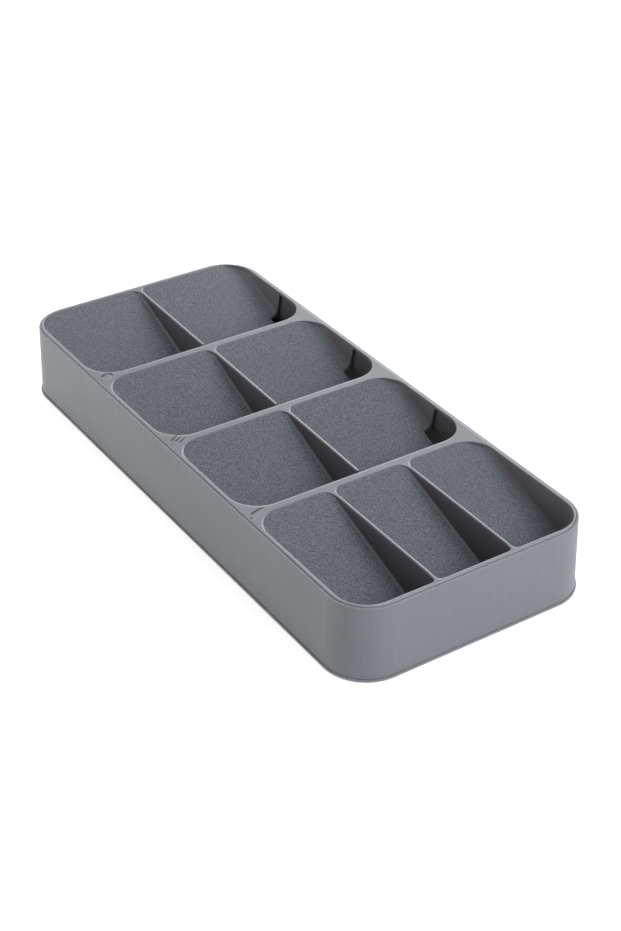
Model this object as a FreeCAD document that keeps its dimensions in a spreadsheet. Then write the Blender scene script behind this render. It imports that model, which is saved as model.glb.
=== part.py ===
"""Tiered cutlery tray: a tier insert in an outer shell, closed by a base plate on rubber feet.

Millimetres. X is the width, Y the length (front at -Y), Z up. The origin is under the middle of the
tray, on the surface that its feet stand on.
"""
import FreeCAD
import Part
import Sketcher
import os

# Driving sizes: name, value and what it is
SIZES = [
    ("base_length", 400.0, "overall length, over the base plate's edge"),
    ("base_width", 172.5, "overall width, over the base plate's edge"),
    ("tray_height", 50.5, "rim above the ground"),
    ("foot_stand", 0.8, "feet below the base plate"),
    ("flange_proud", 0.8, "base plate's edge beyond the foot of the shell"),
    ("shell_draft", 1.4, "how much the shell draws in from foot to rim"),
    ("rim_corner", 26.0, "corner radius of the shell at the rim"),
    ("lip_width", 1.4, "width of the shell's lip around the insert"),
    ("deck_proud", 0.85, "insert's rim above the shell's lip"),
    ("seam_gap", 0.3, "open seam between the lip and the insert"),
    ("seam_chamfer", 0.2, "broken edges of the lip"),
    ("rim_bevel", 0.35, "broken outer edge of the insert's rim"),
    ("shell_top", 2.1, "shell wall at the rim, lip and ledge together"),
    ("shell_foot", 2.25, "shell wall at the foot"),
    ("rim_band", 3.85, "rim from the shell's outside to the pocket walls"),
    ("deck_thick", 2.0, "thickness of rim, bars and pads"),
    ("edge_bevel", 0.3, "broken top edges of the pockets"),
    ("floor_thick", 1.8, "sloping floors"),
    ("root_depth", 1.8, "thickening under the rim where a floor starts"),
    ("bar_width", 5.1, "flat top of a bar between two tiers"),
    ("front_share", 0.2729, "front tier's pockets, as a share of the length inside the rim"),
    ("middle_share", 0.2212, "pockets of each middle tier, as a share of that length"),
    ("floor_drop", 36.0, "fall of each floor from the rim to its front end"),
    ("floor_lead", 0.5, "floor's start in front of the bar"),
    ("floor_crest", 2.4, "rounding where a floor leaves the bar"),
    ("corner_deep", 20.0, "plan radius of the pockets' front corners and at the tray's own corners"),
    ("corner_shallow", 18.0, "plan radius of the pockets' back corners beside a bar"),
    ("divider_thick", 2.0, "dividers between pockets"),
    ("divider_round", 0.4, "rounding of the tier dividers' top"),
    ("divider_dip", 2.0, "how far the tier dividers fall to their free end"),
    ("divider_share", 0.33, "front dividers from the middle plane, as a share of the half width inside"),
    ("divider_gap", 4.5, "opening between a divider's free end and the bar"),
    ("flare_radius", 8.0, "flare of a divider into the bar behind it"),
    ("front_fillet", 3.0, "flare of the front dividers into the front wall"),
    ("scoop_fillet", 5.0, "fillet between floor and side wall"),
    ("divider_fillet", 2.0, "fillet between floor and divider"),
    ("notch_length", 36.0, "side walls stop this far behind a bar, below the rim"),
    ("notch_lean", 12.0, "how much further back they would stop at the ground"),
    ("fit_gap", 0.25, "clearance between parts that slip into each other"),
    ("base_thick", 1.5, "base plate"),
    ("shadow_gap", 0.3, "open line between the shell's foot and the base plate's edge"),
    ("base_seat", 1.2, "shell's foot that rests on the base plate"),
    ("locator_height", 5.0, "rib of the base plate that locates the shell"),
    ("locator_thick", 1.6, "thickness of that rib"),
    ("foot_diameter", 14.0, "rubber foot"),
    ("foot_recess", 0.7, "depth of a foot's seat in the base plate"),
    ("foot_chamfer", 0.4, "broken lower edge of a foot"),
    ("foot_inset", 24.0, "foot centre from the base plate's edges"),
    ("snap_length", 12.0, "snap teeth along the sides"),
    ("snap_height", 2.0, "height of a snap tooth"),
    ("snap_bite", 0.5, "how far a tooth reaches into the shell's wall"),
    ("snap_lead", 0.6, "bevel that lets a tooth slide in"),
    ("insert_snap_drop", 5.0, "underside of the insert's teeth below the rim plate"),
    ("insert_snap_back", 25.0, "insert's teeth in front of a tier's back wall"),
    ("base_snap_rise", 2.0, "underside of the base plate's teeth above its seat"),
    ("base_snap_pitch", 96.0, "spacing of the base plate's teeth"),
]

# Derived sizes, worked out by the document from the driving ones
LAYOUT = [
    ("rim_half_width", "Sizes.base_width / 2 - Sizes.flange_proud - Sizes.shell_draft"),
    ("rim_half_length", "Sizes.base_length / 2 - Sizes.flange_proud - Sizes.shell_draft"),
    ("field_half_width", "rim_half_width - Sizes.rim_band"),
    ("field_half_length", "rim_half_length - Sizes.rim_band"),
    ("insert_wall", "Sizes.rim_band - Sizes.shell_top - Sizes.fit_gap"),
    ("wall_half_width", "field_half_width + insert_wall"),
    ("wall_corner", "Sizes.rim_corner - Sizes.shell_top - Sizes.fit_gap"),
    ("bar_wall_corner", "Sizes.corner_shallow + insert_wall"),
    ("deck_half_width", "rim_half_width - Sizes.lip_width - Sizes.seam_gap"),
    ("deck_half_length", "rim_half_length - Sizes.lip_width - Sizes.seam_gap"),
    ("deck_corner", "Sizes.rim_corner - Sizes.lip_width - Sizes.seam_gap"),
    ("deck_bottom", "Sizes.tray_height - Sizes.deck_thick"),
    ("lip_top", "Sizes.tray_height - Sizes.deck_proud"),
    ("root_bottom", "deck_bottom - Sizes.root_depth"),
    ("divider_half", "Sizes.divider_thick / 2"),
    ("front_divider", "field_half_width * Sizes.divider_share"),
    ("middle_pocket", "2 * field_half_length * Sizes.middle_share"),
    ("tier4_front", "-field_half_length"),
    ("tier4_back", "tier4_front + 2 * field_half_length * Sizes.front_share"),
    ("tier3_front", "tier4_back + Sizes.bar_width"),
    ("tier3_back", "tier3_front + middle_pocket"),
    ("tier2_front", "tier3_back + Sizes.bar_width"),
    ("tier2_back", "tier2_front + middle_pocket"),
    ("tier1_front", "tier2_back + Sizes.bar_width"),
    ("tier1_back", "field_half_length"),
    ("shell_bottom", "Sizes.foot_stand + Sizes.base_thick"),
    ("foot_half_width", "rim_half_width + Sizes.shell_draft"),
    ("foot_half_length", "rim_half_length + Sizes.shell_draft"),
    ("foot_corner", "Sizes.rim_corner + Sizes.shell_draft"),
    ("mouth_half_width", "rim_half_width - Sizes.shell_top"),
    ("mouth_half_length", "rim_half_length - Sizes.shell_top"),
    ("mouth_corner", "Sizes.rim_corner - Sizes.shell_top"),
    ("inner_half_width", "foot_half_width - Sizes.shell_foot"),
    ("inner_half_length", "foot_half_length - Sizes.shell_foot"),
    ("inner_corner", "foot_corner - Sizes.shell_foot"),
    ("lip_half_width", "rim_half_width - Sizes.lip_width"),
    ("lip_half_length", "rim_half_length - Sizes.lip_width"),
    ("lip_corner", "Sizes.rim_corner - Sizes.lip_width"),
    ("base_half_width", "Sizes.base_width / 2"),
    ("base_half_length", "Sizes.base_length / 2"),
    ("base_corner", "foot_corner + Sizes.flange_proud"),
    ("seat_half_width", "inner_half_width + Sizes.base_seat"),
    ("seat_half_length", "inner_half_length + Sizes.base_seat"),
    ("seat_corner", "inner_corner + Sizes.base_seat"),
    ("inner_draft", "(inner_half_width - mouth_half_width) / (lip_top - shell_bottom)"),
    ("locator_slack", "Sizes.fit_gap + inner_draft * Sizes.locator_height"),
    ("rib_half_width", "inner_half_width - locator_slack"),
    ("rib_half_length", "inner_half_length - locator_slack"),
    ("rib_corner", "inner_corner - locator_slack"),
    ("well_half_width", "rib_half_width - Sizes.locator_thick"),
    ("well_half_length", "rib_half_length - Sizes.locator_thick"),
    ("well_corner", "rib_corner - Sizes.locator_thick"),
    ("insert_snap_bottom", "deck_bottom - Sizes.insert_snap_drop"),
    ("insert_snap_depth", "lip_top - insert_snap_bottom"),
    ("insert_snap_tip", "mouth_half_width + inner_draft * insert_snap_depth + Sizes.snap_bite"),
    ("base_snap_bottom", "shell_bottom + Sizes.base_snap_rise"),
    ("base_snap_tip", "inner_half_width - inner_draft * Sizes.base_snap_rise + Sizes.snap_bite"),
]

TIERS = (1, 2, 3, 4)
BACK_TIER, FRONT_TIER = TIERS[0], TIERS[-1]
# Snap teeth on each long side of the base plate
BASE_SNAPS = 4
# Cutting shapes run this far past what they cut
OVERRUN = 6.0
# Points nearer than this are the same point
TOUCH = 1e-6

for tier in TIERS:
    LAYOUT.append(("tier%d_start" % tier, "tier%d_back - Sizes.floor_lead" % tier))
    LAYOUT.append(("tier%d_slope" % tier, "Sizes.floor_drop / (tier%d_start - tier%d_front)" % (tier, tier)))
    LAYOUT.append(("tier%d_sheet" % tier, "Sizes.floor_thick * sqrt(1 + tier%d_slope ^ 2)" % tier))

doc = FreeCAD.newDocument("cutlery_tray")
sheet = doc.addObject("Spreadsheet::Sheet", "Sizes")
layout = doc.addObject("Spreadsheet::Sheet", "Layout")


def fill_sheets():
    """Write the driving sizes as plain numbers, and the derived ones as formulas."""
    for row, (name, value, meaning) in enumerate(SIZES, start=1):
        sheet.set("A%d" % row, str(value))
        sheet.set("B%d" % row, meaning)
        sheet.setAlias("A%d" % row, name)
    for row, (name, formula) in enumerate(LAYOUT, start=1):
        layout.set("A%d" % row, "=" + formula)
        layout.setAlias("A%d" % row, name)
    doc.recompute()


def size(name):
    """Value of a driving or derived size."""
    if name in dict(LAYOUT):
        return float(layout.get(name))
    return float(sheet.get(name))


def bind(item, formulas):
    """Tie properties of an object to formulas."""
    for place, formula in formulas.items():
        item.setExpression(place, formula)


# Building blocks
def block(name, west, east, front, back, bottom, top):
    """Box between six formulas."""
    box = doc.addObject("Part::Box", name)
    bind(box, {
        "Placement.Base.x": west,
        "Placement.Base.y": front,
        "Placement.Base.z": bottom,
        "Length": "(%s) - (%s)" % (east, west),
        "Width": "(%s) - (%s)" % (back, front),
        "Height": "(%s) - (%s)" % (top, bottom),
    })
    return box


def is_upright(edge):
    """True for an edge that runs along Z."""
    start, end = edge.Vertexes[0].Point, edge.Vertexes[-1].Point
    return abs(end.z - start.z) > TOUCH and (end - start).cross(FreeCAD.Vector(0, 0, 1)).Length < TOUCH


def rounded(name, base, choose, kind="Fillet"):
    """Round or bevel the edges for which choose(edge) gives a size."""
    doc.recompute()
    eased = doc.addObject("Part::" + kind, name)
    eased.Base = base
    picked = []
    for number, edge in enumerate(base.Shape.Edges, start=1):
        amount = choose(edge)
        if amount:
            picked.append((number, amount, amount))
    eased.Edges = picked
    return eased


def bevelled(name, base, choose):
    """Bevel the edges for which choose(edge) gives a size."""
    return rounded(name, base, choose, "Chamfer")


def rounded_block(name, box, corners):
    """Round the upright edges of a box: corners maps "front_left" and the like to a size's name."""
    doc.recompute()
    limits = box.Shape.BoundBox
    sides = {"left": limits.XMin, "right": limits.XMax, "front": limits.YMin, "back": limits.YMax}

    def choose(edge):
        if not is_upright(edge):
            return None
        point = edge.Vertexes[0].Point
        for corner, radius in corners.items():
            depth, hand = corner.split("_")
            if abs(point.y - sides[depth]) < TOUCH and abs(point.x - sides[hand]) < TOUCH:
                return size(radius)
        return None

    return rounded(name, box, choose)


def mirrored(name, source):
    """Copy of a shape on the other side of the tray's middle plane."""
    copy = doc.addObject("Part::Mirroring", name)
    copy.Source = source
    copy.Normal = (1, 0, 0)
    return copy


def joined(name, shapes):
    """Union of several shapes."""
    union = doc.addObject("Part::MultiFuse", name)
    union.Shapes = shapes
    return union


def overlap(name, first, second):
    """What two shapes have in common."""
    common = doc.addObject("Part::Common", name)
    common.Base = first
    common.Tool = second
    return common


def without(name, base, tool):
    """A shape with another one cut away."""
    cut = doc.addObject("Part::Cut", name)
    cut.Base = base
    cut.Tool = tool
    return cut


def side_profile(name, corners, west, east):
    """Prism along X over a polygon whose corners are (Y, Z) formulas."""
    sketch = doc.addObject("Sketcher::SketchObject", name + "_outline")
    sketch.Placement = FreeCAD.Placement(FreeCAD.Vector(), FreeCAD.Rotation(FreeCAD.Vector(1, 1, 1), 120))
    count = len(corners)
    for number in range(count):
        start = FreeCAD.Vector(number, number % 2, 0)
        end = FreeCAD.Vector((number + 1) % count, (number + 1) % count % 2, 0)
        sketch.addGeometry(Part.LineSegment(start, end), False)
    for number in range(count):
        sketch.addConstraint(Sketcher.Constraint("Coincident", number, 2, (number + 1) % count, 1))
    for number, (along, up) in enumerate(corners):
        for axis, kind, formula in (("y", "DistanceX", along), ("z", "DistanceY", up)):
            datum = sketch.addConstraint(Sketcher.Constraint(kind, -1, 1, number, 1, 1.0))
            sketch.renameConstraint(datum, "%s%d" % (axis, number))
            sketch.setExpression("Constraints.%s%d" % (axis, number), formula)
    prism = doc.addObject("Part::Extrusion", name)
    prism.Base = sketch
    prism.DirMode = "Normal"
    prism.Solid = True
    bind(prism, {"LengthFwd": east, "LengthRev": "-(%s)" % west})
    return prism


def rounded_rectangle(body, name, half_width, half_length, corner, level):
    """Sketch of a rectangle with round corners about the origin, on a level plane of a body."""
    sketch = body.newObject("Sketcher::SketchObject", name)
    plane = [part for part in body.Origin.OriginFeatures if part.Role == "XY_Plane"][0]
    sketch.AttachmentSupport = [(plane, "")]
    sketch.MapMode = "FlatFace"
    sketch.setExpression("AttachmentOffset.Base.z", level)
    add_rounded_rectangle(sketch, half_width, half_length, corner)
    return sketch


def add_rounded_rectangle(sketch, half_width, half_length, corner):
    """Four lines and four arcs, held by named sizes."""
    first = sketch.GeometryCount
    x, y, r = size(half_width), size(half_length), size(corner)
    ring = [(x - r, y), (-x + r, y), (-x, y - r), (-x, -y + r),
            (-x + r, -y), (x - r, -y), (x, -y + r), (x, y - r)]
    points = [FreeCAD.Vector(px, py, 0) for px, py in ring]
    centres = [(-x + r, y - r), (-x + r, -y + r), (x - r, -y + r), (x - r, y - r)]
    for side in range(4):
        sketch.addGeometry(Part.LineSegment(points[2 * side], points[2 * side + 1]), False)
        middle = FreeCAD.Vector(centres[side][0], centres[side][1], 0)
        turn = 1.5707963267948966
        circle = Part.Circle(middle, FreeCAD.Vector(0, 0, 1), r)
        sketch.addGeometry(Part.ArcOfCircle(circle, turn * (side + 1), turn * (side + 2)), False)
    for side in range(4):
        line = first + 2 * side
        arc = line + 1
        following = first + (2 * side + 2) % 8
        sketch.addConstraint(Sketcher.Constraint("Tangent", line, 2, arc, 1))
        sketch.addConstraint(Sketcher.Constraint("Tangent", arc, 2, following, 1))
        sketch.addConstraint(Sketcher.Constraint("Horizontal" if side % 2 == 0 else "Vertical", line))
        if side:
            sketch.addConstraint(Sketcher.Constraint("Equal", first + 1, arc))
    alias = {"r": corner, "back": half_length, "front": half_length, "left": half_width, "right": half_width}
    datums = {
        "r": Sketcher.Constraint("Radius", first + 1, r),
        "back": Sketcher.Constraint("DistanceY", -1, 1, first, 1, y),
        "left": Sketcher.Constraint("DistanceX", first + 2, 1, -1, 1, x),
        "front": Sketcher.Constraint("DistanceY", first + 4, 1, -1, 1, y),
        "right": Sketcher.Constraint("DistanceX", -1, 1, first + 6, 1, x),
    }
    for word, datum in datums.items():
        number = sketch.addConstraint(datum)
        label = "%s_%d" % (word, first)
        sketch.renameConstraint(number, label)
        owner = "Layout" if alias[word] in dict(LAYOUT) else "Sizes"
        sketch.setExpression("Constraints." + label, "%s.%s" % (owner, alias[word]))


# Tier insert: floors
def floor_air(tier, side, west, east):
    """Space above a tier's floor, between two X formulas."""
    start, slope = "Layout.tier%d_start" % tier, "Layout.tier%d_slope" % tier
    front, back = "Layout.tier%d_front - %s" % (tier, OVERRUN), "Layout.tier%d_back + %s" % (tier, OVERRUN)
    rim = "Sizes.tray_height"
    air = side_profile("air_%d_%s" % (tier, side), [
        (back, rim),
        (start, rim),
        (front, "%s - %s * (%s - (%s))" % (rim, slope, start, front)),
        (front, "%s + 2 * %s" % (rim, OVERRUN)),
        (back, "%s + 2 * %s" % (rim, OVERRUN)),
    ], west, east)
    rim_height, crest = size("tray_height"), size("tier%d_start" % tier)

    def at_crest(edge):
        points = [vertex.Point for vertex in edge.Vertexes]
        on_crest = all(abs(p.y - crest) < TOUCH and abs(p.z - rim_height) < TOUCH for p in points)
        return size("floor_crest") if on_crest else None

    return rounded("crest_%d_%s" % (tier, side), air, at_crest)


def filleted_air(tier, side, west, east, left_fillet, right_fillet):
    """The same space with the floor's fillets along both sides."""
    crested = floor_air(tier, side, west, east)
    doc.recompute()
    limits = crested.Shape.BoundBox
    rim_height = size("tray_height")
    lines = {limits.XMin: left_fillet, limits.XMax: right_fillet}

    def along_floor(edge):
        box = edge.BoundBox
        if box.XLength > TOUCH or box.YLength < TOUCH or box.ZMax > rim_height + TOUCH:
            return None
        for line, fillet in lines.items():
            if abs(box.XMin - line) < TOUCH:
                return size(fillet)
        return None

    return rounded("floor_%d_%s" % (tier, side), crested, along_floor)


def pocket(tier, side, west, east, front, corners, fillets):
    """Hollow of one pocket: its plan outline, down to its floor."""
    plan = block("plan_%d_%s" % (tier, side), west, east, front, "Layout.tier%d_back" % tier,
                 "0", "Sizes.tray_height + %s" % OVERRUN)
    walls = rounded_block("walls_%d_%s" % (tier, side), plan, corners)
    air = filleted_air(tier, side, west, east, *fillets)
    return overlap("pocket_%d_%s" % (tier, side), walls, air)


def deck_hole(tier, side, west, east, corners):
    """Opening of one pocket through the deck."""
    plan = block("opening_%d_%s" % (tier, side), west, east, "Layout.tier%d_front" % tier,
                 "Layout.tier%d_back" % tier, "Layout.deck_bottom - %s" % OVERRUN,
                 "Sizes.tray_height + %s" % OVERRUN)
    return rounded_block("hole_%d_%s" % (tier, side), plan, corners)


def floor_slab(tier):
    """Everything between a floor's underside and the rim."""
    start, slope = "Layout.tier%d_start" % tier, "Layout.tier%d_slope" % tier
    under = "(Sizes.tray_height - Layout.tier%d_sheet)" % tier
    front, back = "Layout.tier%d_front - %s" % (tier, OVERRUN), "Layout.tier%d_back + %s" % (tier, OVERRUN)
    return side_profile("slab_%d" % tier, [
        (back, "Sizes.tray_height"),
        (back, "Layout.root_bottom"),
        ("%s - (%s - Layout.root_bottom) / %s" % (start, under, slope), "Layout.root_bottom"),
        (front, "%s - %s * (%s - (%s))" % (under, slope, start, front)),
        (front, "Sizes.tray_height"),
    ], "-Layout.wall_half_width - %s" % OVERRUN, "Layout.wall_half_width + %s" % OVERRUN)


def divider_dip(tier, free_end):
    """What is cut off an open tier's divider, so that its rounded top falls towards its free end."""
    root = "Layout.tier%d_back - Sizes.flare_radius" % tier
    rim, low, depth = "Sizes.tray_height", "Sizes.tray_height - Sizes.divider_dip", "2 * Sizes.divider_round"
    side = "Layout.divider_half"
    underside = [(free_end, "%s - %s" % (low, depth)), (root, "%s - %s" % (rim, depth))]
    crown = side_profile("crown_%d" % tier, [(root, rim), (free_end, low)] + underside, "-" + side, side)
    above = "%s + %s" % (rim, OVERRUN)
    zone = side_profile("zone_%d" % tier, [(root, above), (free_end, above)] + underside, "-" + side, side)
    doc.recompute()
    top, front = size("tray_height") - size("divider_dip"), size("tier%d_front" % tier) + size("divider_gap")

    def choose(edge):
        box = edge.BoundBox
        along = box.XLength < TOUCH and box.YLength > TOUCH and box.ZMax > top + TOUCH
        across = box.XLength > TOUCH and box.YMax < front + TOUCH and box.ZMin > top - TOUCH
        return size("divider_round") if along and box.ZMin > top - TOUCH or across else None

    return without("dip_%d" % tier, zone, rounded("rounded_crown_%d" % tier, crown, choose))


def open_tier(tier):
    """Scoop of a tier whose floor runs on under the bar in front of it, and its deck opening."""
    front, back = "Layout.tier%d_front" % tier, "Layout.tier%d_back" % tier
    back_corner = "corner_deep" if tier == BACK_TIER else "corner_shallow"
    back_wall = "wall_corner" if tier == BACK_TIER else "bar_wall_corner"
    outside, inside = "-Layout.field_half_width", "-Layout.divider_half"
    hollow = pocket(tier, "left", outside, inside, "%s - %s" % (front, OVERRUN),
                    {"back_left": back_corner, "back_right": "flare_radius"},
                    ("scoop_fillet", "divider_fillet"))
    hole = deck_hole(tier, "left", outside, inside,
                     {"front_left": "corner_deep", "back_left": back_corner, "back_right": "flare_radius"})
    slot = block("slot_%d" % tier, inside, "Layout.divider_half", front, "%s - Sizes.flare_radius" % back,
                 "Layout.deck_bottom - %s" % OVERRUN, "Sizes.tray_height + %s" % OVERRUN)
    opening = joined("opening_%d" % tier, [hole, mirrored("hole_%d_right" % tier, hole), slot])

    body = block("body_%d" % tier, "-Layout.wall_half_width", "Layout.wall_half_width", front,
                 "%s + Layout.insert_wall" % back, "0", "Layout.deck_bottom")
    walls = rounded_block("shell_%d" % tier, body, {
        "front_left": "wall_corner", "front_right": "wall_corner",
        "back_left": back_wall, "back_right": back_wall})
    full = overlap("full_%d" % tier, joined("stack_%d" % tier, [walls, opening]), floor_slab(tier))

    end = "%s + Sizes.notch_length" % front
    notch = side_profile("notch_%d" % tier, [
        ("%s - %s" % (front, OVERRUN), "Layout.deck_bottom"),
        (end, "Layout.deck_bottom"),
        ("%s + Sizes.notch_lean" % end, "0"),
        ("%s - %s" % (front, OVERRUN), "0"),
    ], "-Layout.wall_half_width - %s" % OVERRUN, "-Layout.field_half_width + Sizes.scoop_fillet")
    free_end = "%s + Sizes.divider_gap" % front
    foot = "Layout.divider_half + Sizes.divider_fillet"
    above = floor_air(tier, "gap", "-(%s)" % foot, foot)
    ahead = block("ahead_%d" % tier, "-(%s)" % foot, foot, "%s - %s" % (front, OVERRUN), free_end,
                  "0", "Sizes.tray_height + %s" % OVERRUN)
    tools = joined("tools_%d" % tier, [
        hollow, mirrored("pocket_%d_right" % tier, hollow),
        notch, mirrored("notch_%d_right" % tier, notch),
        overlap("gap_%d" % tier, ahead, above), divider_dip(tier, free_end)])
    return without("cut_%d" % tier, full, tools), opening


def front_tier(tier):
    """Scoop of the front tier, with three closed pockets, and its deck opening."""
    outside = "-Layout.field_half_width"
    inside = "-Layout.front_divider - Layout.divider_half"
    middle = "-Layout.front_divider + Layout.divider_half"
    front = "Layout.tier%d_front" % tier
    outer_corners = {"front_left": "corner_deep", "back_left": "corner_shallow",
                     "front_right": "front_fillet", "back_right": "flare_radius"}
    inner_corners = {"front_left": "front_fillet", "front_right": "front_fillet",
                     "back_left": "flare_radius", "back_right": "flare_radius"}
    side = pocket(tier, "left", outside, inside, front, outer_corners, ("scoop_fillet", "divider_fillet"))
    centre = pocket(tier, "middle", middle, "-(%s)" % middle, front, inner_corners,
                    ("divider_fillet", "divider_fillet"))
    side_hole = deck_hole(tier, "left", outside, inside, outer_corners)
    centre_hole = deck_hole(tier, "middle", middle, "-(%s)" % middle, inner_corners)
    opening = joined("opening_%d" % tier, [
        side_hole, mirrored("hole_%d_right" % tier, side_hole), centre_hole])

    body = block("body_%d" % tier, "-Layout.wall_half_width", "Layout.wall_half_width",
                 "%s - Layout.insert_wall" % front, "Layout.tier%d_back + Layout.insert_wall" % tier,
                 "0", "Layout.deck_bottom")
    walls = rounded_block("shell_%d" % tier, body, {
        "front_left": "wall_corner", "front_right": "wall_corner",
        "back_left": "bar_wall_corner", "back_right": "bar_wall_corner"})
    full = overlap("full_%d" % tier, joined("stack_%d" % tier, [walls, opening]), floor_slab(tier))
    tools = joined("tools_%d" % tier, [side, mirrored("pocket_%d_right" % tier, side), centre])
    return without("cut_%d" % tier, full, tools), opening


# Rim, bars and pads
def pad(body, name, sketch, height):
    """Raise a sketch into its body."""
    feature = body.newObject("PartDesign::Pad", name)
    feature.Profile = sketch
    bind(feature, {"Length": height})
    doc.recompute()
    return feature


def crest_fill(tier, opening, plate):
    """Rim beside the start of a floor, level with that floor where the pocket's edge is broken."""
    back = "Layout.tier%d_back" % tier
    reach = "Layout.field_half_width + Sizes.edge_bevel"
    band = block("band_%d" % tier, "-(%s)" % reach, reach, "%s - Sizes.corner_shallow" % back,
                 "%s + Sizes.edge_bevel" % back, "Layout.deck_bottom", "Sizes.tray_height")
    above = floor_air(tier, "band", "-(%s) - %s" % (reach, OVERRUN), "%s + %s" % (reach, OVERRUN))
    rim = overlap("rim_band_%d" % tier, band, plate)
    return without("fill_%d" % tier, without("ramp_%d" % tier, rim, above), opening)


def rim_deck(holes):
    """Flat rim with three bars and their corner pads, and broken pocket edges."""
    plate = doc.addObject("PartDesign::Body", "deck_plate")
    outline = rounded_rectangle(plate, "deck_outline", "deck_half_width", "deck_half_length", "deck_corner",
                                "Layout.deck_bottom")
    doc.recompute()
    pad(plate, "deck_pad", outline, "Sizes.deck_thick")
    pierced = without("deck_pierced", plate, joined("deck_holes", holes))
    rim, half = size("tray_height"), size("divider_half")
    tips = [size("tier%d_back" % tier) - size("flare_radius") for tier in TIERS if tier != FRONT_TIER]

    def in_field(edge):
        points = [vertex.Point for vertex in edge.Vertexes]
        across = all(abs(p.x) < size("field_half_width") + TOUCH for p in points)
        return across and all(abs(p.y) < size("field_half_length") + TOUCH for p in points)

    def pocket_edge(edge):
        box = edge.BoundBox
        on_tip = box.YLength < TOUCH and any(abs(box.YMin - tip) < TOUCH for tip in tips)
        if box.ZMin < rim - TOUCH or not in_field(edge) or (on_tip and box.XMax < half + TOUCH):
            return None
        return size("edge_bevel")

    def seam_edge(edge):
        if edge.BoundBox.ZMin < rim - TOUCH or in_field(edge):
            return None
        return size("rim_bevel")

    eased = bevelled("deck_eased", pierced, lambda edge: pocket_edge(edge) or seam_edge(edge))
    fills = [crest_fill(tier, hole, plate) for tier, hole in zip(TIERS, holes)]
    return joined("deck", [eased] + fills)


# Snap teeth that hold insert and base plate in the shell
def insert_snap(tier):
    """Name, middle, underside and tip formulas of a scoop's tooth."""
    return ("tier_%d" % tier, "(Layout.tier%d_back - Sizes.insert_snap_back)" % tier,
            "Layout.insert_snap_bottom", "Layout.insert_snap_tip")


def base_snap(number):
    """The same for a tooth of the base plate."""
    return ("base_%d" % number, "(Sizes.base_snap_pitch * %s)" % (number - (BASE_SNAPS + 1) / 2),
            "Layout.base_snap_bottom", "Layout.base_snap_tip")


def snap_places():
    """All teeth on the left side."""
    return [insert_snap(tier) for tier in TIERS] + [base_snap(number) for number in range(1, BASE_SNAPS + 1)]


def tooth(place, root, lead_on_top):
    """Snap tooth on the left, from a wall out to its tip, bevelled on the side that slides in first."""
    name, middle, bottom, tip = place
    blank = block("tooth_blank_" + name, "-(%s)" % tip, "-(%s) + Sizes.snap_bite" % root,
                  "%s - Sizes.snap_length / 2" % middle, "%s + Sizes.snap_length / 2" % middle,
                  bottom, "%s + Sizes.snap_height" % bottom)
    doc.recompute()
    limits = blank.Shape.BoundBox
    level = limits.ZMax if lead_on_top else limits.ZMin

    def choose(edge):
        box = edge.BoundBox
        outer = box.YLength > TOUCH and box.XMax < limits.XMin + TOUCH
        return size("snap_lead") if outer and box.ZLength < TOUCH and abs(box.ZMin - level) < TOUCH else None

    return bevelled("tooth_" + name, blank, choose)


def with_teeth(name, base, teeth):
    """A part with its teeth, and their likenesses on the right."""
    return joined(name, [base] + teeth + [mirrored(item.Name + "_right", item) for item in teeth])


# Outer shell
def loft(body, name, kind, lower, upper):
    """Loft between two sketches of a body."""
    feature = body.newObject("PartDesign::" + kind, name)
    feature.Profile = lower
    feature.Sections = [upper]
    feature.Ruled = True
    doc.recompute()
    return feature


def outer_shell():
    """Drafted sleeve with a ledge and a thin lip for the insert."""
    body = doc.addObject("PartDesign::Body", "shell")
    foot = rounded_rectangle(body, "shell_foot_line", "foot_half_width", "foot_half_length", "foot_corner",
                             "Layout.shell_bottom")
    rim = rounded_rectangle(body, "shell_rim_line", "rim_half_width", "rim_half_length", "rim_corner",
                            "Layout.lip_top")
    loft(body, "shell_outside", "AdditiveLoft", foot, rim)
    inner = rounded_rectangle(body, "shell_inner_line", "inner_half_width", "inner_half_length",
                              "inner_corner", "Layout.shell_bottom")
    mouth = rounded_rectangle(body, "shell_mouth_line", "mouth_half_width", "mouth_half_length",
                              "mouth_corner", "Layout.lip_top")
    loft(body, "shell_inside", "SubtractiveLoft", inner, mouth)
    lip = rounded_rectangle(body, "shell_lip_line", "lip_half_width", "lip_half_length", "lip_corner",
                            "Layout.lip_top")
    ledge = body.newObject("PartDesign::Pocket", "shell_ledge")
    ledge.Profile = lip
    bind(ledge, {"Length": "Layout.lip_top - Layout.deck_bottom"})
    doc.recompute()
    lip_height = size("lip_top")

    def choose(edge):
        return size("seam_chamfer") if edge.BoundBox.ZMin > lip_height - TOUCH else None

    eased = bevelled("shell_eased", body, choose)
    catches = []
    for name, middle, bottom, tip in snap_places():
        catch = block("catch_" + name, "-(%s) - Sizes.fit_gap" % tip,
                      "-Layout.mouth_half_width + Sizes.shell_top",
                      "%s - Sizes.snap_length / 2 - Sizes.fit_gap" % middle,
                      "%s + Sizes.snap_length / 2 + Sizes.fit_gap" % middle,
                      "%s - Sizes.fit_gap" % bottom, "%s + Sizes.snap_height + Sizes.fit_gap" % bottom)
        catches += [catch, mirrored("catch_%s_right" % name, catch)]
    return without("shell_with_catches", eased, joined("catches", catches))


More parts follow.
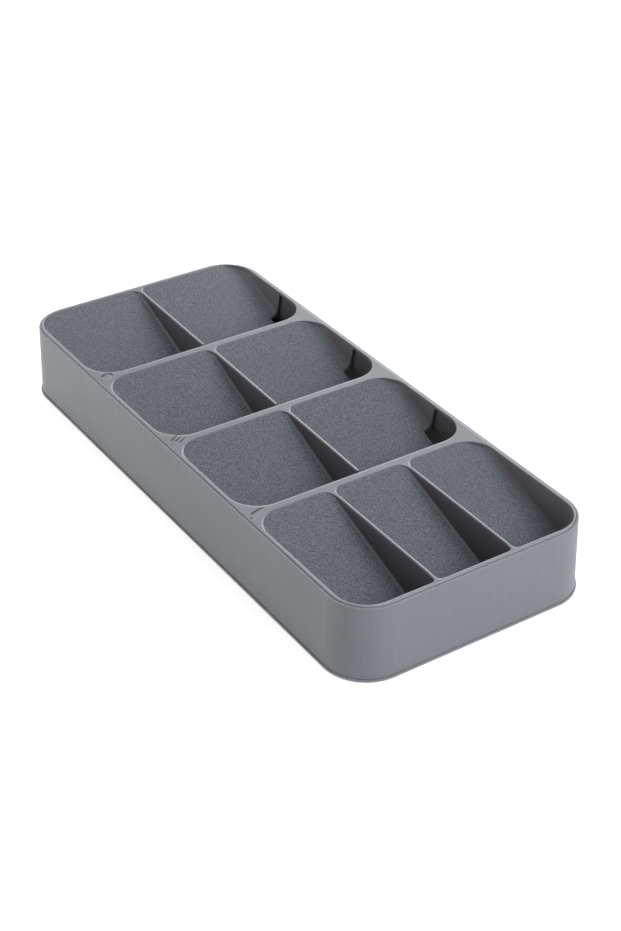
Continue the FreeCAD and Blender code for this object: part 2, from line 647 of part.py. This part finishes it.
# Base plate and feet
def base_plate(seats):
    """Plate under the shell: a proud edge, a seat for the shell's foot and a rib that locates it."""
    body = doc.addObject("PartDesign::Body", "plate")
    edge = rounded_rectangle(body, "plate_edge", "base_half_width", "base_half_length", "base_corner",
                             "Sizes.foot_stand")
    pad(body, "plate_flange", edge, "Sizes.base_thick - Sizes.shadow_gap")
    seat = rounded_rectangle(body, "plate_seat_line", "seat_half_width", "seat_half_length", "seat_corner",
                             "Sizes.foot_stand")
    pad(body, "plate_seat", seat, "Sizes.base_thick")
    rib = rounded_rectangle(body, "plate_rib_line", "rib_half_width", "rib_half_length", "rib_corner",
                            "Layout.shell_bottom")
    add_rounded_rectangle(rib, "well_half_width", "well_half_length", "well_corner")
    pad(body, "plate_rib", rib, "Sizes.locator_height")
    drilled = without("plate_with_seats", body, joined("foot_seats", seats))
    teeth = [tooth(base_snap(number), "Layout.rib_half_width", True) for number in range(1, BASE_SNAPS + 1)]
    return with_teeth("plate_with_teeth", drilled, teeth)


def foot_places():
    """Plan formulas of the six feet: four corners and the middles of the long sides."""
    side, end = "(Layout.base_half_width - Sizes.foot_inset)", "(Layout.base_half_length - Sizes.foot_inset)"
    return [(hand + side, along) for along in ("-" + end, "0", end) for hand in ("-", "")]


def disc(name, across, up, radius, bottom, height):
    """Upright cylinder at a plan position."""
    cylinder = doc.addObject("Part::Cylinder", name)
    bind(cylinder, {"Placement.Base.x": across, "Placement.Base.y": up, "Placement.Base.z": bottom,
                    "Radius": radius, "Height": height})
    return cylinder


def rubber_foot(number, across, along):
    """Rubber disc with a rounded lower edge."""
    blank = disc("foot_blank_%d" % number, across, along, "Sizes.foot_diameter / 2", "0",
                 "Sizes.foot_stand + Sizes.foot_recess")

    def choose(edge):
        return size("foot_chamfer") if edge.BoundBox.ZMax < TOUCH else None

    return bevelled("foot_eased_%d" % number, blank, choose)


def foot_seat(number, across, along):
    """Recess of a foot in the base plate."""
    return disc("foot_seat_%d" % number, across, along, "Sizes.foot_diameter / 2 + Sizes.fit_gap",
                "Sizes.foot_stand - %s" % OVERRUN, "Sizes.foot_recess + %s" % OVERRUN)


def write_parts(parts):
    """Check every object, then write each part under its own name."""
    doc.recompute()
    for item in doc.Objects:
        if "Invalid" in item.State or "Error" in item.State:
            raise RuntimeError("%s: %s" % (item.Name, item.State))
    os.makedirs("parts", exist_ok=True)
    for label, item in parts.items():
        shape = item.Shape
        if shape.isNull() or not shape.isValid() or len(shape.Solids) != 1:
            raise RuntimeError("%s is not one valid solid" % label)
        item.Label = label
        shape.exportStep("parts/%s.step" % label)


fill_sheets()
parts, holes = {}, []
for tier in TIERS:
    if tier == FRONT_TIER:
        scoop, hole = front_tier(tier)
    else:
        scoop, hole = open_tier(tier)
    teeth = [tooth(insert_snap(tier), "Layout.wall_half_width", False)]
    parts["tier_scoop_%d" % tier] = with_teeth("scoop_%d" % tier, scoop, teeth)
    holes.append(hole)
parts["rim_deck"] = rim_deck(holes)
parts["outer_shell"] = outer_shell()
seats = []
for number, (across, along) in enumerate(foot_places(), start=1):
    parts["foot_%d" % number] = rubber_foot(number, across, along)
    seats.append(foot_seat(number, across, along))
parts["base_plate"] = base_plate(seats)
write_parts(parts)
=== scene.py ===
"""Looks of the tiered cutlery tray: plastics, rubber feet, signs on the pads, studio and camera."""

import math

import bmesh
import bpy
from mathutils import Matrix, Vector


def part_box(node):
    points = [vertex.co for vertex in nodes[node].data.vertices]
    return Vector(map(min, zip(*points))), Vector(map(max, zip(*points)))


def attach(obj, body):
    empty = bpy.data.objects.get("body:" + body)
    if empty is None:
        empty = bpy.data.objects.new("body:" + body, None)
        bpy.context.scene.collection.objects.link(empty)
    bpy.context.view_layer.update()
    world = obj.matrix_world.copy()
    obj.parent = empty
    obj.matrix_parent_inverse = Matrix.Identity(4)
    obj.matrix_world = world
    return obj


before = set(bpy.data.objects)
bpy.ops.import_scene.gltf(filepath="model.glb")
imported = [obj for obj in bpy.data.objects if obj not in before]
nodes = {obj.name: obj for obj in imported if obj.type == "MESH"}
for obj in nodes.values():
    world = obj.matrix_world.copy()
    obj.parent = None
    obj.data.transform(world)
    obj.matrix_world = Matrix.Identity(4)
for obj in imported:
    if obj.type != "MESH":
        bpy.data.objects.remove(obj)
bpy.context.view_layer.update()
scene = bpy.context.scene
MM = 0.001


def grey(value, blue=0.0):
    """Linear grey, a little towards blue."""
    return (value * (1 - 0.5 * blue), value * (1 - 0.1 * blue), value * (1 + 0.6 * blue), 1.0)


# Colours of the plastics, linear
FACE = grey(0.255, 0.13)
# Rim's outer sides: a paler grey, painted light against the shade at the seam
RIM_SIDE_LIT = grey(0.45, 0.1)
SHELL = grey(0.30, 0.1)
# Base plate: its grey made paler than the shell's, as painted light against the shadow near the floor
BASE_LIT = grey(0.36, 0.1)
DIVIDER = grey(0.16, 0.13)
FLOOR = grey(0.2, 0.18)
# Painted shade: dark greys on the pockets' walls, lighter on the long sides, and on the shell's inside
WALL_SHADE = (0.111, 0.106, 0.12, 1.0)
SIDE_WALL_SHADE = (0.2, 0.195, 0.217, 1.0)
LINING_SHADE = (0.14, 0.137, 0.152, 1.0)
# Pale grey of the painted highlights on edges, chamfers and fillets
HIGHLIGHT_GREY = grey(0.75, 0.06)

# Outline of the pockets within the rim: half width, half length, corner radius
POCKETS_X = 80.2 * MM
POCKETS_Y = 193.95 * MM
POCKETS_CORNER = 20.0 * MM
# Zones of upright faces in painted shade: how far beyond that outline, and under what height
DECK_INSIDE = (1.0 * MM, 60 * MM)
SHELL_INSIDE = (2.6 * MM, 47.5 * MM)
ZONE_BLUR = 0.2 * MM
# Distances from the middle plane: walls turn to the side walls' lighter painted shade, and the painted
# highlight in fillets fades out
SIDE_WALLS = (55 * MM, 75 * MM)
PALE_FILLETS = (60 * MM, 50 * MM, 0.0, 0.75)
# Dividers: distance from the middle plane, front end, back end
FRONT_DIVIDERS = (0.33 * POCKETS_X, -191 * MM, -94 * MM)
MIDDLE_DIVIDERS = (0.0, -200 * MM, 200 * MM)
DIVIDER_SIDE = (1.05 * MM, 0.9 * MM)
DIVIDER_FADE = 4 * MM
# Strip of painted highlight along the dividers' right edges
GLINT_STRIP = (0.05 * MM, 0.35 * MM)

# Ranges of the normal's Z: face turned up, slant of a fillet or chamfer, divider's top, edge with a
# painted highlight
TURNED_UP = (0.45, 0.9)
SLANT_START = (0.35, 0.5)
SLANT_END = (0.9, 0.8)
DIVIDER_TOP = (0.15, 0.5)
GLINT_TOP = (0.5, 0.7)

# Edges: reach of the masks, rounding in the shading, and shares of the painted highlights' pale grey
EDGE_REACH = 2.4 * MM
EDGE_SAMPLES = 8
EDGE_ROUNDING = 0.25 * MM
ROUNDING_SAMPLES = 4
EDGE_TURN = (0.999, 0.96)
GLINT_WAY = (0.83, 0.56, 0.0)
GLINT_TURN = (0.03, 0.15)
SLANT_SHARE = 0.2
EDGE_SHARE = 0.03
DIVIDER_SHARE = 0.9
DECK_GLINT = 0.6
OUTSIDE_GLINT = 0.1

# Grain, slow drift and faint upright streaks: scales of the noise, and shares of the colour
NOISE_SPAN = (0.3, 0.7)
GRAIN_SCALE = 3000.0
FACE_GRAIN = 0.2
SCOOP_GRAIN = 0.3
FLOOR_GRAIN = 3.6
DRIFT_SCALE = 14.0
DRIFT = 0.03
STREAK_NOISE = (420.0, 2.0, 0.6)
STREAK_STRETCH = (1.0, 1.0, 0.14)
WALL_STREAKS = 0.028
LEVEL_STREAKS = 0.01

# Gloss and relief
ROUGH = (0.42, 0.56)
POLISHED = 0.2
SPECULAR = 0.4
BUMP_STRENGTH = 0.4
BUMP_DEPTH = 0.06 * MM

# Rubber feet: colours without and with dust, and the noise of dust and relief
RUBBER = grey(0.02)
DUSTY = grey(0.05)
DUST_NOISE = (420.0, 3.0, 0.6)
DUST_SPAN = (0.4, 0.75)
RUBBER_ROUGH = (0.75, 0.9)
RUBBER_RELIEF_SCALE = 1800.0
RUBBER_BUMP_STRENGTH = 0.2
RUBBER_BUMP_DEPTH = 0.05 * MM

# Signs: greys of the shaded and lit edges, from and to
SIGN_SHADED = (0.012, 0.03)
SIGN_LIT = (0.42, 0.52)
SIGN_BLUE = 0.08
SIGN_NOISE_SCALE = 900.0
SIGN_ROUGH = 0.6


class Tree:
    """Short ways to add nodes to a material or world."""

    def __init__(self, owner):
        owner.use_nodes = True
        self.nodes = owner.node_tree.nodes
        self.links = owner.node_tree.links
        self.nodes.clear()

    def add(self, kind, inputs=None, **settings):
        """New node. An input is a plain value or the output of another node."""
        node = self.nodes.new(kind)
        for name, value in settings.items():
            setattr(node, name, value)
        for socket, value in (inputs or {}).items():
            if isinstance(value, bpy.types.NodeSocket):
                self.links.new(value, node.inputs[socket])
            else:
                node.inputs[socket].default_value = value
        return node

    def math(self, operation, first, second=0.0, clamp=False):
        """Result of one or two numbers."""
        inputs = {0: first, 1: second}
        return self.add("ShaderNodeMath", inputs, operation=operation, use_clamp=clamp).outputs[0]

    def vector(self, operation, first, second=(0.0, 0.0, 0.0)):
        """Result of one or two vectors: a number for a dot product or length, or else a vector."""
        node = self.add("ShaderNodeVectorMath", {0: first, 1: second}, operation=operation)
        return node.outputs["Value" if operation in ("DOT_PRODUCT", "LENGTH") else "Vector"]

    def axes(self, vector):
        """X, Y and Z of a vector."""
        return self.add("ShaderNodeSeparateXYZ", {"Vector": vector}).outputs

    def span(self, value, low, high, to_low=0.0, to_high=1.0, smooth=False):
        """Number carried from one range to another and held at the ends."""
        inputs = {0: value, 1: low, 2: high, 3: to_low, 4: to_high}
        kind = "SMOOTHSTEP" if smooth else "LINEAR"
        return self.add("ShaderNodeMapRange", inputs, interpolation_type=kind).outputs[0]

    def mix(self, share, first, second, blend="MIX"):
        """Two colours mixed."""
        inputs = {"Factor": share, 6: first, 7: second}
        return self.add("ShaderNodeMix", inputs, data_type="RGBA", blend_type=blend).outputs[2]

    def noise(self, place, scale, detail=2.0, roughness=0.5):
        """Noise around 0.5."""
        inputs = {"Vector": place, "Scale": scale, "Detail": detail, "Roughness": roughness}
        return self.add("ShaderNodeTexNoise", inputs).outputs[0]

    def place(self):
        """Place on the part, in metres."""
        return self.add("ShaderNodeTexCoord").outputs["Object"]

    def surface(self, shader):
        """Shader sent to the material's output."""
        self.add("ShaderNodeOutputMaterial", {"Surface": shader.outputs[0]})


class Moulding(Tree):
    """Tree of a moulded plastic, with the values that its looks depend on."""

    def __init__(self, owner):
        super().__init__(owner)
        self.spot = self.place()
        self.off_middle = self.math("ABSOLUTE", self.axes(self.spot)["X"])
        self.normal = self.add("ShaderNodeNewGeometry").outputs["True Normal"]
        self.level = self.axes(self.normal)["Z"]
        self.upward = self.span(self.level, *TURNED_UP, smooth=True)
        self.speckle = self.noise(self.spot, GRAIN_SCALE, 0.0)

    def both(self, first, second):
        """Mask where two masks meet."""
        return self.math("MULTIPLY", first, second)

    def without(self, mask):
        """The opposite of a mask."""
        return self.math("SUBTRACT", 1.0, mask)

    def shaded_wall(self):
        """Painted shade on the pockets' walls: a dark grey, lighter on the tray's long sides."""
        return self.mix(self.span(self.off_middle, *SIDE_WALLS), WALL_SHADE, SIDE_WALL_SHADE)

    def inside_rim(self, beyond, below):
        """Mask of a rounded rectangle that lies this far beyond the pockets, and under a height."""
        flat = self.vector("MULTIPLY", self.spot, (1.0, 1.0, 0.0))
        core = (POCKETS_X - POCKETS_CORNER, POCKETS_Y - POCKETS_CORNER, 0.0)
        past = self.vector("SUBTRACT", self.vector("ABSOLUTE", flat), core)
        reach = self.vector("LENGTH", self.vector("MAXIMUM", past))
        limit = POCKETS_CORNER + beyond
        within = self.span(reach, limit - ZONE_BLUR, limit + ZONE_BLUR, 1.0, 0.0)
        height = self.axes(self.spot)["Z"]
        return self.both(within, self.span(height, below - ZONE_BLUR, below, 1.0, 0.0))

    def on_divider(self, off_middle, front, back):
        """Masks of the rounded tops, and of the painted highlight on the right edges, of dividers, by
        distance and two ends.
        """
        axes = self.axes(self.spot)
        past = self.math("SUBTRACT", self.off_middle, off_middle)
        near = self.span(self.math("ABSOLUTE", past), *DIVIDER_SIDE)
        near = self.both(near, self.span(axes["Y"], back, back - DIVIDER_FADE))
        near = self.both(near, self.span(axes["Y"], front, front + DIVIDER_FADE))
        top_face = self.both(near, self.span(self.level, *DIVIDER_TOP))
        rightward = self.math("MULTIPLY", past, self.math("SIGN", axes["X"]))
        return top_face, self.both(top_face, self.span(rightward, *GLINT_STRIP))

    def painted_highlights(self, slanted, glint_share):
        """Share of the painted highlights' pale grey: slanted faces, all edges, and edges turned to the
        back or right.
        """
        rounded = self.add("ShaderNodeBevel", {"Radius": EDGE_REACH}, samples=EDGE_SAMPLES).outputs[0]
        near_edge = self.span(self.vector("DOT_PRODUCT", rounded, self.normal), *EDGE_TURN)
        turned = self.span(self.vector("DOT_PRODUCT", rounded, GLINT_WAY), *GLINT_TURN)
        glinting = self.both(turned, self.span(self.level, *GLINT_TOP))
        slants = self.math("MULTIPLY", slanted, SLANT_SHARE)
        edges = self.math("MULTIPLY", near_edge, EDGE_SHARE)
        pale = self.math("MAXIMUM", slants, edges)
        return self.math("MAXIMUM", pale, self.math("MULTIPLY", glinting, glint_share))

    def mottled(self, colour, grain):
        """Colour with grain, slow drift and streaks, which are stronger on upright faces."""
        lift = self.math("MULTIPLY", self.math("SUBTRACT", self.speckle, 0.5), grain)
        drift = self.span(self.noise(self.spot, DRIFT_SCALE), *NOISE_SPAN, -DRIFT, DRIFT)
        drawn = self.vector("MULTIPLY", self.spot, STREAK_STRETCH)
        streaks = self.span(self.noise(drawn, *STREAK_NOISE), *NOISE_SPAN, -1.0, 1.0)
        strength = self.span(self.upward, 0.0, 1.0, WALL_STREAKS, LEVEL_STREAKS)
        streaks = self.math("MULTIPLY", streaks, strength)
        shade = self.math("ADD", self.math("ADD", 1.0, lift), self.math("ADD", drift, streaks))
        tint = self.add("ShaderNodeCombineColor", {0: shade, 1: shade, 2: shade}).outputs[0]
        return self.mix(1.0, colour, tint, "MULTIPLY")

    def plastic(self, colour, slanted):
        """Plastic with a fine bump, polished on slanted faces."""
        rough = self.span(slanted, 0.0, 1.0, self.span(self.speckle, *NOISE_SPAN, *ROUGH), POLISHED)
        radius = {"Radius": EDGE_ROUNDING}
        eased = self.add("ShaderNodeBevel", radius, samples=ROUNDING_SAMPLES).outputs[0]
        relief = {"Strength": BUMP_STRENGTH, "Distance": BUMP_DEPTH, "Height": self.speckle}
        bump = self.add("ShaderNodeBump", {**relief, "Normal": eased}).outputs[0]
        looks = {"Base Color": colour, "Roughness": rough, "Specular IOR Level": SPECULAR}
        self.surface(self.add("ShaderNodeBsdfPrincipled", {**looks, "Normal": bump}))


def moulded(name, base, grain, glint_share, inside=None, side=None, lining=None, floor=None, divider=None):
    """Moulded plastic with an eroded grain, slow colour drift, polished edges, and painted highlights in
    pale grey.

    side is a paler colour painted on upright faces as painted light. inside gives the limits of
    inside_rim, and upright faces within them take painted shade: the colour lining, or else the walls'
    shaded grey.
    floor is the colour of a scoop's floor; its upright faces are walls in painted shade. divider gives the
    dividers, as for on_divider: their tops are darker, with a painted highlight on the right edge. The
    argument after grain is the share of the painted highlight on edges turned to the back or right;
    slanted faces and all edges get painted highlights too.
    """
    material = bpy.data.materials.new(name)
    tree = Moulding(material)
    colour = base
    slanted = tree.both(tree.span(tree.level, *SLANT_START), tree.span(tree.level, *SLANT_END))
    if floor:
        slanted = tree.both(slanted, tree.span(tree.off_middle, *PALE_FILLETS))
        colour = tree.mix(tree.upward, tree.shaded_wall(), floor)
        grain = tree.span(tree.upward, 0.0, 1.0, grain, FLOOR_GRAIN)
    if inside:
        steep = tree.without(tree.upward)
        outside = tree.mix(steep, base, side) if side else base
        colour = tree.mix(tree.both(tree.inside_rim(*inside), steep), outside, lining or tree.shaded_wall())
    # Painted highlights in pale grey on slanted faces and edges
    pale = tree.painted_highlights(slanted, glint_share)
    if divider:
        top_face, glinting_edge = tree.on_divider(*divider)
        colour = tree.mix(top_face, colour, DIVIDER)
        pale = tree.both(pale, tree.without(top_face))
        pale = tree.math("MAXIMUM", pale, tree.math("MULTIPLY", glinting_edge, DIVIDER_SHARE))
    tree.plastic(tree.mix(pale, tree.mottled(colour, grain), HIGHLIGHT_GREY), slanted)
    return material


def rubber():
    """Soft black rubber with a dusty bloom."""
    material = bpy.data.materials.new("foot_rubber")
    tree = Tree(material)
    place = tree.place()
    dust = tree.noise(place, *DUST_NOISE)
    colour = tree.mix(tree.span(dust, *DUST_SPAN), RUBBER, DUSTY)
    rough = tree.span(dust, *NOISE_SPAN, *RUBBER_ROUGH)
    relief = {"Strength": RUBBER_BUMP_STRENGTH, "Distance": RUBBER_BUMP_DEPTH}
    height = tree.noise(place, RUBBER_RELIEF_SCALE)
    bump = tree.add("ShaderNodeBump", {**relief, "Height": height}).outputs[0]
    looks = {"Base Color": colour, "Normal": bump, "Roughness": rough}
    tree.surface(tree.add("ShaderNodeBsdfPrincipled", looks))
    return material


def pressed(name, low, high):
    """Shaded or lit edge of the pressed signs."""
    material = bpy.data.materials.new(name)
    tree = Tree(material)
    share = tree.noise(tree.place(), SIGN_NOISE_SCALE)
    colour = tree.mix(share, grey(low, SIGN_BLUE), grey(high, SIGN_BLUE))
    tree.surface(tree.add("ShaderNodeBsdfPrincipled", {"Base Color": colour, "Roughness": SIGN_ROUGH}))
    return material


# Materials on the CAD nodes; the rest, the feet, are rubber
open_scoop = moulded("open_scoop", DIVIDER, SCOOP_GRAIN, 0.0, floor=FLOOR, divider=MIDDLE_DIVIDERS)
MATERIALS = {
    "rim_deck": moulded("deck_plastic", FACE, FACE_GRAIN, DECK_GLINT, inside=DECK_INSIDE, side=RIM_SIDE_LIT,
                        divider=FRONT_DIVIDERS),
    "tier_scoop_1": open_scoop,
    "tier_scoop_2": open_scoop,
    "tier_scoop_3": open_scoop,
    "tier_scoop_4": moulded("front_scoop", DIVIDER, SCOOP_GRAIN, 0.0, floor=FLOOR, divider=FRONT_DIVIDERS),
    "outer_shell": moulded("shell_plastic", SHELL, FACE_GRAIN, OUTSIDE_GLINT, inside=SHELL_INSIDE,
                           lining=LINING_SHADE),
    "base_plate": moulded("base_plastic", BASE_LIT, FACE_GRAIN, OUTSIDE_GLINT),
}
foot_rubber = rubber()
for label, node in nodes.items():
    node.data.materials.clear()
    node.data.materials.append(MATERIALS.get(label, foot_rubber))


# Signs pressed into the left pads: shaded strokes, and lit ones on the far side of each groove
SIGN_LIFT = 0.02 * MM
SIGN_TURN = math.radians(30)
SHADED_WIDTH = 1.3 * MM
LIT_WIDTH = 0.5 * MM
END_TAPER = 0.6
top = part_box("rim_deck")[1].z


def arc(centre, radii, start, end, steps=16):
    """Points of an ellipse's arc, in degrees."""
    angles = [math.radians(start + (end - start) * step / steps) for step in range(steps + 1)]
    return [(centre[0] + radii[0] * math.cos(a), centre[1] + radii[1] * math.sin(a)) for a in angles]


def stroke(mesh, points, width):
    """Flat ribbon along a line of points, tapered at its ends."""
    left, right = [], []
    last = len(points) - 1
    for number, point in enumerate(points):
        along = (points[min(number + 1, last)] - points[max(number - 1, 0)]).normalized()
        half = width / 2 * (END_TAPER if number in (0, last) else 1.0)
        side = Vector((-along.y, along.x)) * half
        left.append(mesh.verts.new((point.x + side.x, point.y + side.y, top + SIGN_LIFT)))
        right.append(mesh.verts.new((point.x - side.x, point.y - side.y, top + SIGN_LIFT)))
    for number in range(last):
        mesh.faces.new((right[number], right[number + 1], left[number + 1], left[number]))


def sign(name, lines, origin, width, material):
    """Strokes given in millimetres: along the sign's axis, and to its right."""
    mesh = bmesh.new()
    forward = Vector((math.cos(SIGN_TURN), math.sin(SIGN_TURN)))
    right = Vector((forward.y, -forward.x))
    for line in lines:
        points = [Vector(origin) * MM + forward * u * MM + right * v * MM for u, v in line]
        stroke(mesh, points, width)
    data = bpy.data.meshes.new(name)
    mesh.to_mesh(data)
    mesh.free()
    data.materials.append(material)
    piece = bpy.data.objects.new(name, data)
    scene.collection.objects.link(piece)
    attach(piece, "root")


# Each sign's origin on its pad, shaded strokes and lit strokes, in millimetres
BOWL = ((6.3, 0.1), (3.8, 2.8))
SIGNS = {
    "spoon": ((-80.0, 94.9),
              [arc(*BOWL, -125, 50), [(-0.4, 0.0), (0.6, 0.0)]],
              [arc(*BOWL, 70, 200)]),
    "fork": ((-79.8, 3.9),
             [[(3.0, -2.6), (4.0, -2.8), (10.3, -2.8)], [(4.3, -1.1), (5.0, 0.1), (10.4, 0.1)],
              [(4.2, 2.0), (4.7, 3.0), (10.6, 3.0)], [(-0.4, 0.0), (0.8, 0.0)]],
             [[(5.4, -2.0), (10.3, -2.0)], [(5.8, 0.9), (10.4, 0.9)], [(3.6, 3.6), (10.4, 3.8)]]),
    "knife": ((-79.8, -89.4),
              [[(2.9, -2.9), (5.0, -2.7), (7.0, -2.3), (9.9, -1.2), (12.4, 0.2)],
               [(-0.9, -1.2), (0.8, -1.2)]],
              [[(3.0, 0.6), (12.2, 0.7)], [(-1.0, 1.1), (0.8, 1.1)]]),
}
shaded = pressed("sign_shaded", *SIGN_SHADED)
lit = pressed("sign_lit", *SIGN_LIT)
for label, (origin, dark_lines, light_lines) in SIGNS.items():
    sign("sign_%s_shaded" % label, dark_lines, origin, SHADED_WIDTH, shaded)
    sign("sign_%s_lit" % label, light_lines, origin, LIT_WIDTH, lit)


# Studio
WHITE = (1.0, 1.0, 1.0, 1.0)
WARM = (1.0, 0.97, 0.94, 1.0)
FLOOR_HALF = 6.0
FLOOR_GREY = (0.8, 0.8, 0.8, 1.0)
FLOOR_GLOW = 0.7
# Sky: range of the direction's X or Z, then the strengths at its two ends
SKY_ABOVE = (-0.6, 0.2, 0.2, 0.3)
SKY_LOW = (-0.9, 0.0, 2.45, 1.1)
SKY_HEIGHT = (0.03, 0.45)
SKY_WARM = (-0.1, -0.8)
FRONT_LEFT = (-0.8, -0.6, 0.0)
FRONT_LEFT_DIM = (0.3, 0.95, 1.0, 0.05)
# Each lamp's place, aim, side, power and colour
LAMPS = {
    "key": ((0.95, 1.55, 1.2), (0, 0, 0), 1.2, 9.0, (1.0, 1.0, 1.0)),
    "back": ((0.47, 0.49, 0.38), (0.08, 0.03, 0.05), 0.3, 1.1, (1.0, 1.0, 1.0)),
    "fill": ((0.25, -1.05, 1.05), (0, 0, 0), 1.0, 10.3, (0.93, 0.97, 1.0)),
    "side": ((-0.45, 0.5, 0.15), (-0.08, 0.1, 0.03), 0.25, 0.7, (1.0, 0.98, 0.96)),
}


def white_floor():
    """Pale floor that stays white to the camera and keeps the tray's shadow."""
    mesh = bpy.data.meshes.new("floor")
    corners = [(-1, -1), (1, -1), (1, 1), (-1, 1)]
    mesh.from_pydata([(x * FLOOR_HALF, y * FLOOR_HALF, 0) for x, y in corners], [], [(0, 1, 2, 3)])
    floor = bpy.data.objects.new("floor", mesh)
    scene.collection.objects.link(floor)
    material = bpy.data.materials.new("floor")
    tree = Tree(material)
    path = tree.add("ShaderNodeLightPath").outputs
    seen = tree.math("ADD", path["Is Camera Ray"], path["Is Glossy Ray"], clamp=True)
    seen = tree.math("ADD", seen, path["Is Transmission Ray"], clamp=True)
    diffuse = tree.add("ShaderNodeBsdfDiffuse", {"Color": FLOOR_GREY})
    strength = tree.math("MULTIPLY", seen, FLOOR_GLOW)
    glow = tree.add("ShaderNodeEmission", {"Color": WHITE, "Strength": strength})
    tree.surface(tree.add("ShaderNodeAddShader", {0: diffuse.outputs[0], 1: glow.outputs[0]}))
    mesh.materials.append(material)


def sky():
    """White to the camera. For the light, bright low down, softer overhead, dim at the front left."""
    world = bpy.data.worlds.new("studio")
    scene.world = world
    tree = Tree(world)
    path = tree.add("ShaderNodeLightPath").outputs
    seen = tree.math("ADD", path["Is Camera Ray"], path["Is Transmission Ray"], clamp=True)
    unseen = tree.math("SUBTRACT", 1.0, seen)
    way = tree.add("ShaderNodeTexCoord").outputs["Generated"]
    axes = tree.axes(way)
    above = tree.span(axes["X"], *SKY_ABOVE, smooth=True)
    low = tree.span(axes["X"], *SKY_LOW, smooth=True)
    dim = tree.span(tree.vector("DOT_PRODUCT", way, FRONT_LEFT), *FRONT_LEFT_DIM, smooth=True)
    light = tree.span(axes["Z"], *SKY_HEIGHT, tree.math("MULTIPLY", low, dim), above, smooth=True)
    strength = tree.math("ADD", tree.math("MULTIPLY", light, unseen), seen)
    left = tree.math("MULTIPLY", tree.span(axes["X"], *SKY_WARM), unseen)
    colour = tree.mix(left, WHITE, WARM)
    back = tree.add("ShaderNodeBackground", {"Color": colour, "Strength": strength})
    tree.add("ShaderNodeOutputWorld", {"Surface": back.outputs[0]})


def softbox(name, place, aim, side, power, colour):
    """Square area lamp turned towards a point."""
    lamp = bpy.data.lights.new(name, "AREA")
    lamp.shape = "SQUARE"
    lamp.size = side
    lamp.energy = power
    lamp.color = colour
    box = bpy.data.objects.new(name, lamp)
    scene.collection.objects.link(box)
    box.location = place
    box.rotation_euler = (Vector(aim) - Vector(place)).to_track_quat("-Z", "Y").to_euler()
    box.visible_camera = False


white_floor()
sky()
for label, settings in LAMPS.items():
    softbox(label, *settings)

# Camera at the photograph's angle
EYE = Vector((-513.4, -811.5, 639.7)) * MM
AIM = Vector((2.36, -23.65, 20.9)) * MM
FOCAL_LENGTH = 69.66
SENSOR_WIDTH = 36.0
NEAREST = 0.01
FARTHEST = 50.0
lens = bpy.data.cameras.new("camera")
lens.lens = FOCAL_LENGTH
lens.sensor_width = SENSOR_WIDTH
lens.clip_start = NEAREST
lens.clip_end = FARTHEST
camera = bpy.data.objects.new("camera", lens)
scene.collection.objects.link(camera)
camera.location = EYE
camera.rotation_euler = (AIM - EYE).to_track_quat("-Z", "Y").to_euler()
scene.camera = camera
scene.view_settings.view_transform = "Standard"
